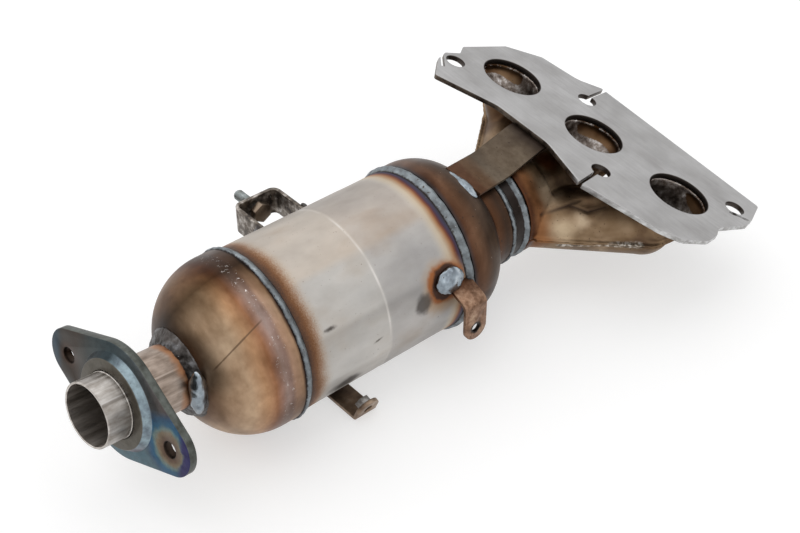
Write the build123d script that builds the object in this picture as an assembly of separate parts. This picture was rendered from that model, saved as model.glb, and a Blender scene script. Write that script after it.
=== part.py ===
"""Close-coupled catalytic converter with its three-runner exhaust manifold.

The origin is the centre of the middle port on the mating face of the head flange.
+Z is up as the converter lies on its weld beads and lower bracket, and +Y runs along
the can from the outlet towards the manifold.
"""
from build123d import *
from math import cos, radians, sin, sqrt
import os

os.makedirs("parts", exist_ok=True)

# Head flange, measured on its mating face
port_pitch = 78.0
port_diameter = 46.5
head_flange_thickness = 4.0
stud_hole_diameter = 14.8
end_hole = (112.5, 32.0)
mid_hole = (29.3, -39.9)
slit_width = 3.0
head_outline_bend = 22.0
head_nose_round = 8.0
head_corner_round = 2.5
flange_yaw = 10.6
flange_dip = 15.5
flange_lean = 13.5

# Manifold
manifold_wall = 1.6
collar_step = 0.9
collar_length = 5.0
elbow_diameter = 48.0
runner_elbows = [(-56.0, -3.0, 33.0), (-7.0, -16.0, 35.0), (66.0, -4.0, 35.0)]
branch_diameters = [44.0, 66.0, 48.0]
branch_offsets = [(-6.0, 0.0), (0.0, 3.0), (11.0, -6.0)]
throat_size = (37.0, 35.0)
collector_gap = 18.0
collector_length = 27.0
mouth_length = 7.0
branch_start = 5.0
branch_depth = 12.0
seam_lip = 3.5
lip_end_gap = 5.0

# Can
can_side = 15.2
can_top = 26.1
inlet_weld_back = 162.0
weld_spacing = 145.0
shell_diameter = 120.0
shell_wall = 1.5
skirt_lap = 9.0
dome_wall = 1.5
inlet_shoulder = 34.0
neck_reach = 57.0
neck_diameter = 78.0
neck_fillet = 5.0
ring_wall = 2.0
ring_insert = 6.0
outlet_shoulder = 47.5

# Ceramic brick and its packing
brick_diameter = 105.7
brick_length = 114.3
seal_width = 8.0

# Outlet
pipe_diameter = 44.5
pipe_wall = 1.8
pipe_start = 45.0
pipe_length = 80.7
sized_end_diameter = 43.8
sized_end_length = 16.5
pipe_yaw = 6.2
pipe_pitch = 9.6
outlet_flange_setback = 23.0
outlet_flange_thickness = 6.0
outlet_flange_roll = -7.3
outlet_bolt_circle = 100.0
outlet_hole_diameter = 11.0
outlet_lug_radius = 18.0
outlet_middle_radius = 40.0
seat_base_diameter = 67.0
seat_top_diameter = 60.0
seat_height = 5.5

# Brackets
stay_width = 31.0
stay_thickness = 2.5
stay_across = -27.5
stay_start = -132.0
stay_low = -18.0
stay_bend = -96.0
stay_rise = -56.0
stay_end = -34.0
stay_arch = 50.0
front_bracket_width = 19.0
front_bracket_thickness = 2.5
front_bracket_setback = 13.0
front_path = [(-3.0, 10.5), (14.0, 3.0), (14.0, -17.0), (14.0, -26.5)]
front_bend = 4.0
front_hole_diameter = 6.5
lower_bracket_width = 17.5
lower_bracket_thickness = 2.8
lower_bracket_y = 51.0
lower_root = 8.0
lower_reach = 56.0
lower_bend = 3.5
lower_tab_lean = 23.0
lower_tab_height = 8.8
lower_hole_diameter = 6.6
lower_nut_size = 10.0
lower_nut_height = 5.0
lower_thread_diameter = 5.0
rear_bracket_width = 20.0
rear_bracket_thickness = 2.5
rear_stand_off = 16.0
rear_span = (48.0, 79.5)
rear_bottom = 20.5
rear_bend = 4.0
rear_neck_diameter = 7.2
rear_thread_diameter = 7.85
rear_thread_start = 4.0
rear_stud_length = 23.5
rear_head_size = 13.0
rear_head_height = 5.3
rear_bolt_clearance = 8.4

# Welds
port_weld_leg = 3.5
collector_weld_leg = 5.5
collector_weld_crown = 1.2
neck_weld_leg = 6.0
neck_weld_crown = 1.8
inlet_weld_leg = 7.0
outlet_weld_leg = 6.0
shell_weld_crown = 1.3
pipe_weld_radius = 4.5
pipe_weld_offset = 1.5
flange_weld_leg = 4.0
stay_weld_radius = 4.0
stay_weld_inset = 4.0
stay_end_weld_leg = 2.5
stay_lap = 14.0
front_weld_radius = 4.5
front_weld_span = (10.0, 3.0)
front_weld_seat = (1.0, 4.0)
lower_weld_x = 14.0
lower_weld_radius = 2.4
lower_weld_inset = 2.0
rear_weld_radius = 2.8
rear_weld_seat = 1.0

# Clearances
touch = 0.3
slip = 0.3

shell_radius = shell_diameter / 2
can_drop = shell_radius - can_top
front_bracket_y = weld_spacing - front_bracket_setback
rear_reach = shell_radius + rear_stand_off
neck_radius = neck_diameter / 2
pipe_radius = pipe_diameter / 2
elbow_radius = elbow_diameter / 2
collar_radius = port_diameter / 2 + collar_step
outlet_weld_y = -(inlet_weld_back + weld_spacing)

head_frame = Rot(0, 0, flange_yaw) * Rot(0, flange_dip, 0) * Rot(-flange_lean, 0, 0)
can_frame = Pos(-can_side, outlet_weld_y, -can_drop)
can_axis = can_frame * Rot(-90, 0, 0)
pipe_frame = can_frame * Pos(0, -pipe_start, 0) * Rot(0, 0, pipe_yaw) * Rot(90 - pipe_pitch, 0, 0)


def save(solid, name):
    solid.label = name
    export_step(solid, f"parts/{name}.step")
    return solid


def tube(outer, inner, start, length):
    body = Cylinder(outer, length, align=(Align.CENTER, Align.CENTER, Align.MIN))
    hole = Cylinder(inner, length, align=(Align.CENTER, Align.CENTER, Align.MIN))
    return Pos(0, 0, start) * (body - hole)


def rod(radius, start, length):
    return Pos(0, 0, start) * Cylinder(radius, length, align=(Align.CENTER, Align.CENTER, Align.MIN))


def lathe(outline):
    return revolve(Plane.XZ * make_face(outline), Axis.Z)


def head_outline():
    """Outline of the head flange, read round from its lower left corner."""
    points = [(-108, -66), (-60, -49.5), (-12, -52), (29, -71.5), (92, -59.5), (108, -52), (120, -32),
              (120.5, -18), (117, -7), (128.5, 21), (128, 32), (123, 56), (-33, 71), (-50, 60),
              (-84, 56.5), (-108, 36), (-123, -6), (-118, -17), (-124, -30), (-121, -44)]
    outline = make_face(Polyline(*points, close=True))
    gentle = [v for v in outline.vertices() if abs(v.X + 12) < 1 or abs(v.X + 50) < 1 or abs(v.X + 60) < 1]
    outline = fillet(gentle, head_outline_bend)
    nose = [v for v in outline.vertices() if v.Y < -30 and v.X > 90]
    outline = fillet(nose, head_nose_round)
    sharp = [v for v in outline.vertices() if v.X < -80 or v.X > 112 and v.Y > -12]
    return fillet(sharp, head_corner_round)


def slit(hole, edge):
    """A saw cut from a stud hole out to the flange's edge."""
    middle = ((hole[0] + edge[0]) / 2, (hole[1] + edge[1]) / 2)
    path = Vector(edge[0] - hole[0], edge[1] - hole[1])
    angle = Vector(1, 0).get_signed_angle(path)
    return Pos(*middle) * Rot(0, 0, angle) * Rectangle(path.length, slit_width)


def make_head_flange():
    sketch = head_outline()
    sketch -= [Pos(port_pitch * i, 0) * Circle(port_diameter / 2) for i in (-1, 0, 1)]
    slit_ends = {end_hole: (134, 22), mid_hole: (28.5, -82),
                 (-end_hole[0], -end_hole[1]): (-126, -49), (-mid_hole[0], -mid_hole[1]): (-31, 80)}
    for hole, edge in slit_ends.items():
        sketch -= Pos(*hole) * Circle(stud_hole_diameter / 2)
        sketch -= slit(hole, edge)
    return head_frame * extrude(sketch, -head_flange_thickness)


# Places along the manifold
neck_end = weld_spacing + neck_reach
mouth_edge = neck_end + collector_gap
mouth_y = outlet_weld_y + mouth_edge
ring_radius = neck_radius - dome_wall
leg_top = head_flange_thickness + collar_length
port_places = [head_frame * Pos(port_pitch * i, 0, 0) for i in (-1, 0, 1)]


def cone_between(start, end, start_radius, end_radius):
    """A straight round piece from one centre to another."""
    path = end - start
    place = Plane(origin=start, z_dir=path.normalized())
    if abs(start_radius - end_radius) < 0.01:
        return place * Cylinder(start_radius, path.length, align=(Align.CENTER, Align.CENTER, Align.MIN))
    return place * Cone(start_radius, end_radius, path.length, align=(Align.CENTER, Align.CENTER, Align.MIN))


def runner(index, inset, grow):
    """A collar under the port, a leaning leg, a rounded elbow and a branch into the collector."""
    across, along, down = runner_elbows[index]
    collar_inner = collar_radius - inset
    elbow_inner = elbow_radius - inset
    collar = port_places[index] * Pos(0, 0, -leg_top) * Cylinder(
        collar_inner, collar_length + grow, align=(Align.CENTER, Align.CENTER, Align.MIN))
    leg = loft([head_frame * Pos(across, along, -down) * Circle(elbow_inner - touch),
                port_places[index] * Pos(0, 0, -leg_top) * Circle(collar_inner - touch)])
    elbow = (head_frame * Pos(across, along, -down)).position
    side, rise = branch_offsets[index]
    entry = Vector(-can_side + side, mouth_y + branch_depth, -can_drop + rise)
    branch = cone_between(elbow, entry, elbow_inner - touch, branch_diameters[index] / 2 - inset)
    branch_side = (entry - elbow).normalized() + Vector(0, 0.6, 0)
    return leg + Plane(origin=elbow, z_dir=branch_side) * Sphere(elbow_inner) + branch + collar


def collector(inset, grow):
    """The round mouth and the flattened throat where the runners meet."""
    outer = ring_radius + manifold_wall - inset
    closed_end = mouth_edge + collector_length - inset
    mouth = rod(outer, mouth_edge - grow, mouth_length + grow)
    throat = loft([Pos(0, 0, mouth_edge + mouth_length) * Circle(outer),
                   Pos(0, 0, closed_end) * Ellipse(throat_size[0] - inset, throat_size[1] - inset)])
    return can_axis * (mouth + throat)


def manifold_bulk(inset, grow):
    """Everything inside the manifold's skin, with the skin moved inwards by the inset."""
    runners = runner(0, inset, grow) + runner(2, inset, grow) + runner(1, inset, grow)
    runners -= can_axis * rod(3 * neck_radius, mouth_edge - neck_diameter, neck_diameter + branch_start)
    return runners + collector(inset, grow)


def largest(shape):
    return max(shape.solids(), key=lambda solid: solid.volume)


def seam_line():
    """Side view of the line where the stampings meet: collector, elbows, then up to the ports."""
    mouth = (head_frame.inverse() * can_axis * Pos(0, 0, mouth_edge)).position
    far = (head_frame.inverse() * can_axis * Pos(0, 0, mouth_edge - 60)).position
    elbow = runner_elbows[1]
    return [(far.Y, far.Z), (mouth.Y, mouth.Z), (elbow[1], -elbow[2]), (0, -leg_top), (0, 30)]


def side_block(points):
    """A block as wide as the manifold from a side view outline."""
    return head_frame * extrude(Plane.YZ * make_face(Polyline(*points, close=True)), 150, both=True)


def seam_slab():
    """Thin slab either side of the seam, for the lips of both stampings."""
    line = seam_line()[:3]
    middle = Polyline((line[0][0], line[0][1]), line[1], line[2], (0, -leg_top - lip_end_gap))
    band = make_face(offset(middle, amount=manifold_wall, kind=Kind.INTERSECTION))
    keep = head_frame * extrude(Plane.YZ * band, 150, both=True)
    return keep - can_axis * rod(80, mouth_edge - 60, 60 + lip_end_gap)


def make_manifold():
    """Two stamped half shells with lips, which meet along the runners' middle line."""
    bulk = manifold_bulk(0, 0)
    hollow = largest(bulk - manifold_bulk(manifold_wall, 1))
    lips = (manifold_bulk(-seam_lip, 0) & seam_slab()) - bulk
    whole = hollow + lips
    line = seam_line()
    inner_side = side_block(line + [(-160, 30), (-160, line[0][1])])
    return whole & inner_side, whole - inner_side


def make_can_shell():
    """Rolled shell round the brick, lapped by both ends."""
    body = tube(shell_radius, shell_radius - shell_wall, -skirt_lap + 1, weld_spacing + 2 * skirt_lap - 2)
    return can_axis * body


def dome_outline(shoulder, wall, skirt_end):
    """Half section of a spun end: straight skirt, round shoulder, down to a flat crown."""
    skirt = shell_radius + wall
    bend = shoulder + wall - dome_wall
    centre = skirt - bend
    crown = skirt_end + bend
    return (Polyline((centre, crown), (0, crown), (0, 0), (skirt, 0), (skirt, skirt_end))
            + ThreePointArc((skirt, skirt_end),
                            (centre + bend * cos(radians(45)), skirt_end + bend * sin(radians(45))),
                            (centre, crown)))


def make_outlet_dome():
    """Deep round end with a tilted hole for the outlet pipe."""
    outer = lathe(dome_outline(outlet_shoulder, dome_wall, skirt_lap))
    inner = lathe(dome_outline(outlet_shoulder, 0, skirt_lap))
    dome = can_frame * Rot(90, 0, 0) * (outer - inner)
    return dome - pipe_frame * rod(pipe_radius, 0, pipe_length)


def inlet_section(wall):
    """Half section of the inlet end, with its neck and the flare between them."""
    radius = neck_radius + wall - dome_wall
    section = make_face(dome_outline(inlet_shoulder, wall, skirt_lap))
    section += Pos(radius / 2, neck_reach / 2) * Rectangle(radius, neck_reach)
    root = [v for v in section.vertices() if abs(v.X - radius) < 0.01 and skirt_lap < v.Y < neck_reach - 2]
    return fillet(root, neck_fillet)


def make_inlet_dome():
    """Shallow end drawn down to the neck that carries the collector ring."""
    solid = revolve(Plane.XZ * inlet_section(dome_wall), Axis.Z) - revolve(Plane.XZ * inlet_section(0), Axis.Z)
    return can_axis * Pos(0, 0, weld_spacing) * solid


def lap_weld(radius, step, position, toward, reach, crown):
    """Fillet weld that fills the step between a lapping edge and the wall it lies on."""
    edge = position
    toe = position + toward * reach
    top = radius + step
    outline = Polyline((top, edge), (radius, edge), (radius, toe))
    crest = (top + crown, position + toward * reach * 0.35)
    face = ThreePointArc((radius, toe), crest, (top, edge))
    return lathe(outline + face)


def make_outlet_pipe():
    """Plain pipe whose end is sized a little smaller for the ring gasket."""
    step = pipe_length - sized_end_length
    inner = pipe_radius - pipe_wall
    full = tube(pipe_radius, inner, 0, step)
    return pipe_frame * (full + tube(sized_end_diameter / 2, inner, step, sized_end_length))


def make_pipe_weld():
    """Heavy bead where the pipe enters the outlet end."""
    bead = Pos(0, 0, skirt_lap + outlet_shoulder) * Torus(pipe_radius + pipe_weld_offset, pipe_weld_radius)
    return can_frame * Rot(90, 0, 0) * bead - outlet_solid - pipe_frame * rod(pipe_radius, 0, pipe_length)


def make_flange_weld():
    """Fillet weld behind the outlet flange."""
    back = pipe_length - outlet_flange_setback - outlet_flange_thickness
    outline = Polyline((pipe_radius, back), (pipe_radius + flange_weld_leg, back),
                       (pipe_radius, back - flange_weld_leg), close=True)
    return pipe_frame * lathe(outline)


def rhombus(lug, middle):
    """Two-bolt flange outline: two lugs and a round middle joined by straight flanks."""
    half = outlet_bolt_circle / 2
    outline = make_hull([*(Pos(-half, 0) * Circle(lug)).edges(), *(Pos(half, 0) * Circle(lug)).edges(),
                         *Circle(middle).edges()])
    return outline


def make_outlet_flange():
    front = pipe_length - outlet_flange_setback
    plate = extrude(rhombus(outlet_lug_radius, outlet_middle_radius), -outlet_flange_thickness)
    seat = Cone(seat_base_diameter / 2, seat_top_diameter / 2, seat_height,
                align=(Align.CENTER, Align.CENTER, Align.MIN))
    body = plate + seat
    body -= [Pos(x, 0, 0) * Cylinder(outlet_hole_diameter / 2, 40) for x in
             (-outlet_bolt_circle / 2, outlet_bolt_circle / 2)]
    body -= Cylinder(pipe_radius + slip, 60)
    return pipe_frame * Pos(0, 0, front) * Rot(0, 0, outlet_flange_roll) * body


def strip(points, bend, thickness, width):
    """Bent flat bar: a path in side view, thickened to its left and widened both ways."""
    path = FilletPolyline(*points, radius=bend) if len(points) > 2 else Line(*points)
    section = make_face(Wire(path.edges()).offset_2d(thickness, side=Side.LEFT))
    return extrude(Plane.XZ * section, width / 2, both=True)


def weld_run(start, end, radius):
    """A short round weld with softened ends."""
    start, end = Vector(*start), Vector(*end)
    bead = Cylinder(radius, (end - start).length + 2 * radius)
    bead = fillet(bead.edges().filter_by(GeomType.CIRCLE), 0.7 * radius)
    return Plane(origin=(start + end) / 2, z_dir=(end - start).normalized()) * bead


def make_stay():
    """Flat stay from the top of the inlet end to the underside of the head flange."""
    under = -head_flange_thickness
    top = FilletPolyline((stay_start, stay_low), (stay_bend, stay_low + 2.0), (stay_rise, under),
                         (stay_end, under), radius=stay_arch)
    section = make_face(Wire(top.edges()).offset_2d(stay_thickness, side=Side.RIGHT))
    return head_frame * Pos(stay_across, 0, 0) * extrude(Plane.YZ * section, stay_width / 2, both=True)


def make_stay_weld():
    half = stay_width / 2 - stay_weld_inset
    ends = [(head_frame * Pos(stay_across + side, stay_start, stay_low - stay_thickness)).position
            for side in (-half, half)]
    return weld_run(ends[0], ends[1], stay_weld_radius)


def make_stay_end_weld():
    """Fillet welds along both sides of the stay where it lies under the head flange."""
    under = -head_flange_thickness
    side = stay_width / 2
    section = make_face(Polyline((side, under), (side + stay_end_weld_leg, under),
                                 (side, under - stay_end_weld_leg), close=True))
    bead = extrude(Plane.XZ * section, stay_lap)
    return head_frame * Pos(stay_across, stay_end, 0) * (bead + mirror(bead, Plane.YZ))


def round_end(width, thickness):
    """Tool that rounds the end of a bar about a hole centre at the origin."""
    corner = Pos(0, width / 2) * Rectangle(width + 2, width) - Circle(width / 2)
    return extrude(corner, 3 * thickness, both=True)


def make_front_bracket():
    """Short strap from the side of the can, bent down to a drilled tab."""
    root, bend, hole, end = [(shell_radius + x, z) for x, z in front_path]
    bar = Pos(0, front_bracket_y, 0) * strip([root, bend, end], front_bend, front_bracket_thickness,
                                             front_bracket_width)
    tab = Plane(origin=(hole[0], front_bracket_y, hole[1]), x_dir=(0, -1, 0), z_dir=(1, 0, 0))
    bar -= tab * round_end(front_bracket_width, front_bracket_thickness)
    bar -= tab * Cylinder(front_hole_diameter / 2, 20)
    return can_frame * bar - can_solid


def make_front_weld():
    """Short fat bead on top of the strap, against the can."""
    x = shell_radius + front_path[0][0] + front_weld_seat[0]
    z = front_path[0][1] + front_weld_seat[1]
    back, ahead = front_weld_span
    return can_frame * weld_run((x, front_bracket_y - back, z), (x, front_bracket_y + ahead, z), front_weld_radius)


def make_lower_bracket():
    """Foot strap tangent to the underside of the can, turned up to a tab for the weld nut."""
    level = -shell_radius - lower_bracket_thickness
    heel = (lower_reach, level)
    lean = radians(lower_tab_lean)
    length = lower_tab_height + lower_bracket_width / 2
    tip = (lower_reach + length * sin(lean), level + length * cos(lean))
    bar = strip([(-lower_root, level), heel, tip], lower_bend, lower_bracket_thickness, lower_bracket_width)
    tab = lower_tab_place(lower_bracket_thickness)
    bar -= tab * round_end(lower_bracket_width, lower_bracket_thickness)
    bar -= tab * Cylinder(lower_hole_diameter / 2, 20)
    return can_frame * Pos(0, lower_bracket_y, 0) * bar


def make_lower_weld():
    """Bead in the wedge between the strap and the can."""
    length = lower_bracket_width - 2 * lower_weld_inset
    bead = Pos(lower_weld_x, lower_bracket_y, -shell_radius + 1) * Rot(90, 0, 0) * Cylinder(lower_weld_radius, length)
    return can_frame * bead


def lower_tab_place(depth):
    """Hole centre of the lower tab: local Z points away from the can, local Y up the tab."""
    lean = radians(lower_tab_lean)
    x = lower_reach + lower_tab_height * sin(lean) - depth * cos(lean)
    z = -shell_radius - lower_bracket_thickness + lower_tab_height * cos(lean) + depth * sin(lean)
    return Plane(origin=(x, 0, z), x_dir=(0, 1, 0), z_dir=(cos(lean), 0, -sin(lean)))


def make_lower_nut():
    nut = extrude(RegularPolygon(lower_nut_size / 2, 6, major_radius=False), lower_nut_height)
    nut -= Cylinder(lower_thread_diameter / 2, 40)
    place = lower_tab_place(lower_bracket_thickness + lower_nut_height)
    return can_frame * Pos(0, lower_bracket_y, 0) * (place * nut)


def make_rear_bracket():
    """U bracket on the far side of the can, with a hole for its bolt."""
    out = -rear_reach
    near, far = rear_span
    path = [(0, near), (out, near), (out, far), (0, far)]
    line = FilletPolyline(*path, radius=rear_bend)
    section = make_face(Wire(line.edges()).offset_2d(rear_bracket_thickness, side=Side.LEFT))
    bar = Pos(0, 0, rear_bottom) * extrude(section, rear_bracket_width)
    bar -= rear_bolt_place() * Cylinder(rear_bolt_clearance / 2, 20)
    return can_frame * bar - can_solid


def make_rear_weld():
    """Beads down the outer sides of the U where its two legs end on the can."""
    near, far = rear_span
    beads = []
    for y, side in ((near - rear_bracket_thickness, -1), (far + rear_bracket_thickness, 1)):
        ends = [Vector(-sqrt(shell_radius ** 2 - z ** 2) - rear_weld_seat, y, z)
                for z in (rear_bottom, rear_bottom + rear_bracket_width)]
        bead = cone_between(*ends, rear_weld_radius, rear_weld_radius)
        beads.append(bead - Pos(-shell_radius, y - side * 10, rear_bottom) * Box(shell_diameter, 20, 100))
    return can_frame * (beads[0] + beads[1])


def rear_bolt_place():
    near, far = rear_span
    height = rear_bottom + rear_bracket_width / 2
    return Pos(-rear_reach, (near + far) / 2, height) * Rot(0, -90, 0)


def make_rear_bolt():
    """Hexagon bolt whose head sits inside the U and whose thread points away from the can."""
    inner = -rear_bracket_thickness
    head = Pos(0, 0, inner - rear_head_height) * extrude(
        RegularPolygon(rear_head_size / 2, 6, major_radius=False), rear_head_height)
    shank = rod(rear_neck_diameter / 2, inner, rear_thread_start - inner)
    thread = rod(rear_thread_diameter / 2, rear_thread_start, rear_stud_length - rear_thread_start)
    thread = chamfer(thread.edges().sort_by(Axis.Z)[-1], 1.0)
    return can_frame * rear_bolt_place() * (head + shank + thread)


def make_port_weld(index):
    """Fillet weld between the underside of the head flange and a runner."""
    under = -head_flange_thickness
    ring = lathe(Polyline((collar_radius, under), (collar_radius + port_weld_leg, under),
                          (collar_radius, under - port_weld_leg), close=True))
    return port_places[index] * ring


can_solid = can_axis * rod(shell_radius, 0, weld_spacing)
inlet_solid = can_axis * Pos(0, 0, weld_spacing) * revolve(Plane.XZ * inlet_section(dome_wall), Axis.Z)
outlet_solid = can_frame * Rot(90, 0, 0) * lathe(dome_outline(outlet_shoulder, dome_wall, skirt_lap))
inner_shell, outer_shell = make_manifold()

save(make_head_flange(), "head_flange")
save(inner_shell, "manifold_inner_shell")
save(outer_shell, "manifold_outer_shell")
for index in range(3):
    save(make_port_weld(index), f"port_weld_{index + 1}")

ring_length = mouth_length + collector_gap + ring_insert
save(can_axis * tube(ring_radius, ring_radius - ring_wall, neck_end - ring_insert, ring_length), "collector_ring")
save(can_axis * lap_weld(ring_radius, manifold_wall, mouth_edge, -1, collector_weld_leg, collector_weld_crown),
     "collector_weld")
save(can_axis * lap_weld(ring_radius, dome_wall, neck_end, 1, neck_weld_leg, neck_weld_crown), "neck_weld")

inlet_weld = can_axis * lap_weld(shell_radius, dome_wall, weld_spacing, -1, inlet_weld_leg, shell_weld_crown)
outlet_weld = can_axis * lap_weld(shell_radius, dome_wall, 0, 1, outlet_weld_leg, shell_weld_crown)
save(make_inlet_dome(), "inlet_dome")
save(inlet_weld, "inlet_shell_weld")
save(make_can_shell(), "can_shell")
save(outlet_weld, "outlet_shell_weld")
save(make_outlet_dome(), "outlet_dome")

save(make_outlet_pipe(), "outlet_pipe")
save(make_pipe_weld(), "outlet_pipe_weld")
save(make_outlet_flange(), "outlet_flange")
save(make_flange_weld(), "outlet_flange_weld")

brick_radius = brick_diameter / 2
brick_start = (weld_spacing - brick_length) / 2
mat_radius = shell_radius - shell_wall
mat_length = brick_length - 2 * seal_width
save(can_axis * rod(brick_radius, brick_start, brick_length), "catalyst_brick")
save(can_axis * tube(mat_radius, brick_radius, brick_start + seal_width, mat_length), "support_mat")
save(can_axis * tube(mat_radius, brick_radius, brick_start + brick_length - seal_width, seal_width), "inlet_seal")
save(can_axis * tube(mat_radius, brick_radius, brick_start, seal_width), "outlet_seal")

stay = make_stay() - inlet_solid
save(stay, "stay")
save(make_stay_weld() - inlet_solid - stay, "stay_weld")
save(make_stay_end_weld(), "stay_flange_weld")

front_bracket = make_front_bracket() - inlet_weld
save(front_bracket, "front_bracket")
save(make_front_weld() - front_bracket - can_solid - inlet_weld, "front_bracket_weld")
lower_bracket = make_lower_bracket()
save(lower_bracket, "lower_bracket")
save(make_lower_weld() - can_solid - lower_bracket, "lower_bracket_weld")
save(make_lower_nut(), "lower_bracket_nut")
rear_bracket = make_rear_bracket()
save(rear_bracket, "rear_bracket")
save(make_rear_weld() - can_solid - rear_bracket, "rear_bracket_weld")
save(make_rear_bolt(), "rear_bolt")
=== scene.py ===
"""The looks of a used close-coupled catalytic converter with its three-runner manifold."""
import bmesh
import bpy
from math import acos, atan2, cos, degrees, exp, pi, radians, sin
from mathutils import Matrix, Vector, noise


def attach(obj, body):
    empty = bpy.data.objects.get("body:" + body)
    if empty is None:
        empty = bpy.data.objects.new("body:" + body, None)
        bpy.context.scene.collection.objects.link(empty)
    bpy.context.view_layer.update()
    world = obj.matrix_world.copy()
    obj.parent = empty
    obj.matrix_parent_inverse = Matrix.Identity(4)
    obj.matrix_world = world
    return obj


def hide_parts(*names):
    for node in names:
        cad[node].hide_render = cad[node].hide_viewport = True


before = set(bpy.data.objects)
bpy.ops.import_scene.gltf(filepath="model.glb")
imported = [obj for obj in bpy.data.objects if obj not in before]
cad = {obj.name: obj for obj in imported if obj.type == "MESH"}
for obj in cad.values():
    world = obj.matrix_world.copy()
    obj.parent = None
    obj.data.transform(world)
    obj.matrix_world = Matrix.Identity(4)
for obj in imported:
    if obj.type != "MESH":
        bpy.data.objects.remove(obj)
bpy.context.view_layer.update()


# Catalyst brick: a ceramic honeycomb with a beige washcoat, held in the shell by a mat of
# mineral fibre and, at each end, a ring of knitted wire that keeps the hot gas off the mat.
def finish(name, color, rough, metallic=0.0):
    """A new material, its node tree and its shader. Colours are as seen, from 0 to 255."""
    material = bpy.data.materials.new(name)
    material.use_nodes = True
    shader = material.node_tree.nodes["Principled BSDF"]
    shader.inputs["Base Color"].default_value = (*seen(*color), 1)
    shader.inputs["Roughness"].default_value = rough
    shader.inputs["Metallic"].default_value = metallic
    return material, material.node_tree, shader


def seen(*rgb):
    return tuple(((c / 255 + 0.055) / 1.055) ** 2.4 if c > 10 else c / 3295 for c in rgb)


def put(value, socket):
    """Sets a socket to a number or colour, or links it to another node's output."""
    if isinstance(value, (int, float)):
        socket.default_value = value
    elif isinstance(value, tuple):
        socket.default_value = (*seen(*value), 1)
    else:
        socket.id_data.links.new(value, socket)


def turned_place(tree, turn=(0, 0, 0), stretch=(1, 1, 1), middle=(0, 0, 0)):
    """Places in metres from a middle, read along axes turned by degrees and drawn out."""
    where = tree.nodes.new("ShaderNodeTexCoord")
    mapping = tree.nodes.new("ShaderNodeMapping")
    mapping.vector_type = "TEXTURE"
    mapping.inputs["Location"].default_value = middle
    mapping.inputs["Rotation"].default_value = [radians(angle) for angle in turn]
    mapping.inputs["Scale"].default_value = stretch
    tree.links.new(where.outputs["Object"], mapping.inputs["Vector"])
    return mapping.outputs[0]


def cloudy(tree, size, detail=4.0, rough=0.55, stretch=(1, 1, 1), turn=(0, 0, 0), twist=0.0):
    """Noise fixed to the metal, with blotches of about the size given in metres."""
    pattern = tree.nodes.new("ShaderNodeTexNoise")
    pattern.inputs["Scale"].default_value = 1 / size
    pattern.inputs["Detail"].default_value = detail
    pattern.inputs["Roughness"].default_value = rough
    pattern.inputs["Distortion"].default_value = twist
    tree.links.new(turned_place(tree, turn, stretch), pattern.inputs["Vector"])
    return pattern.outputs[0]


def relief(tree, shader, height, strength, depth):
    bump = tree.nodes.new("ShaderNodeBump")
    bump.inputs["Strength"].default_value = strength
    bump.inputs["Distance"].default_value = depth
    tree.links.new(height, bump.inputs["Height"])
    tree.links.new(bump.outputs[0], shader.inputs["Normal"])


def band(tree, factor, *stops):
    """Colours along a factor; each stop is its position and its colour."""
    node = tree.nodes.new("ShaderNodeValToRGB")
    elements = node.color_ramp.elements
    while len(elements) < len(stops):
        elements.new(0.5)
    for element, (position, color) in zip(elements, stops):
        element.position = position
        element.color = (*seen(*color), 1)
    tree.links.new(factor, node.inputs[0])
    return node.outputs[0]


def dress(name, material):
    """Gives a CAD node its finish."""
    mesh = cad[name].data
    mesh.materials.clear()
    mesh.materials.append(material)


ceramic, tree, shader = finish("washcoated_ceramic", (196, 181, 155), 0.9)
put(band(tree, cloudy(tree, 0.02), (0.3, (171, 154, 127)), (0.7, (209, 196, 172))),
    shader.inputs["Base Color"])
relief(tree, shader, cloudy(tree, 0.001, 2), 0.4, 0.0004)
dress("catalyst_brick", ceramic)
fibre, tree, shader = finish("mineral_fibre", (214, 206, 188), 0.95)
put(band(tree, cloudy(tree, 0.004, 6, stretch=(1, 0.3, 1)), (0.3, (180, 168, 146)),
         (0.7, (226, 220, 206))), shader.inputs["Base Color"])
relief(tree, shader, cloudy(tree, 0.0012, 5, stretch=(1, 0.3, 1)), 0.6, 0.0006)
dress("support_mat", fibre)
knit, tree, shader = finish("knitted_wire", (150, 140, 124), 0.45, 0.9)
put(band(tree, cloudy(tree, 0.0015, 3), (0.35, (88, 78, 64)), (0.65, (190, 182, 168))),
    shader.inputs["Base Color"])
relief(tree, shader, cloudy(tree, 0.001, 3), 0.8, 0.0006)
for seal in ("inlet_seal", "outlet_seal"):
    dress(seal, knit)


# Can shell: stainless sheet rolled round the mat, then squeezed to size in two bites by ten
# jaws, which leave long soft flats and a fold round the middle. The welds tint both its edges.
can_side, can_drop = -0.0152, -0.0339
outlet_weld_y, inlet_weld_y = -0.307, -0.162
can_end = Matrix.Translation((can_side, outlet_weld_y, can_drop))
toward_inlet = can_end @ Matrix.Rotation(-pi / 2, 4, "X")
toward_outlet = can_end @ Matrix.Rotation(pi / 2, 4, "X")


def sums(tree, kind, first, second):
    node = tree.nodes.new("ShaderNodeMath")
    node.operation = kind
    put(first, node.inputs[0])
    put(second, node.inputs[1])
    return node.outputs[0]


def along(tree, axis="Y", turn=(0, 0, 0), middle=(0, 0, 0)):
    """A place along one of the row's axes, in metres, or along an axis turned by degrees."""
    split = tree.nodes.new("ShaderNodeSeparateXYZ")
    tree.links.new(turned_place(tree, turn, middle=middle), split.inputs[0])
    return split.outputs[axis]


def waver(tree, size, reach, detail=3):
    """A smooth drift of the given reach in metres, so that a tint's edge isn't straight."""
    return sums(tree, "MULTIPLY", sums(tree, "SUBTRACT", cloudy(tree, size, detail), 0.5),
                2 * reach)


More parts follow.
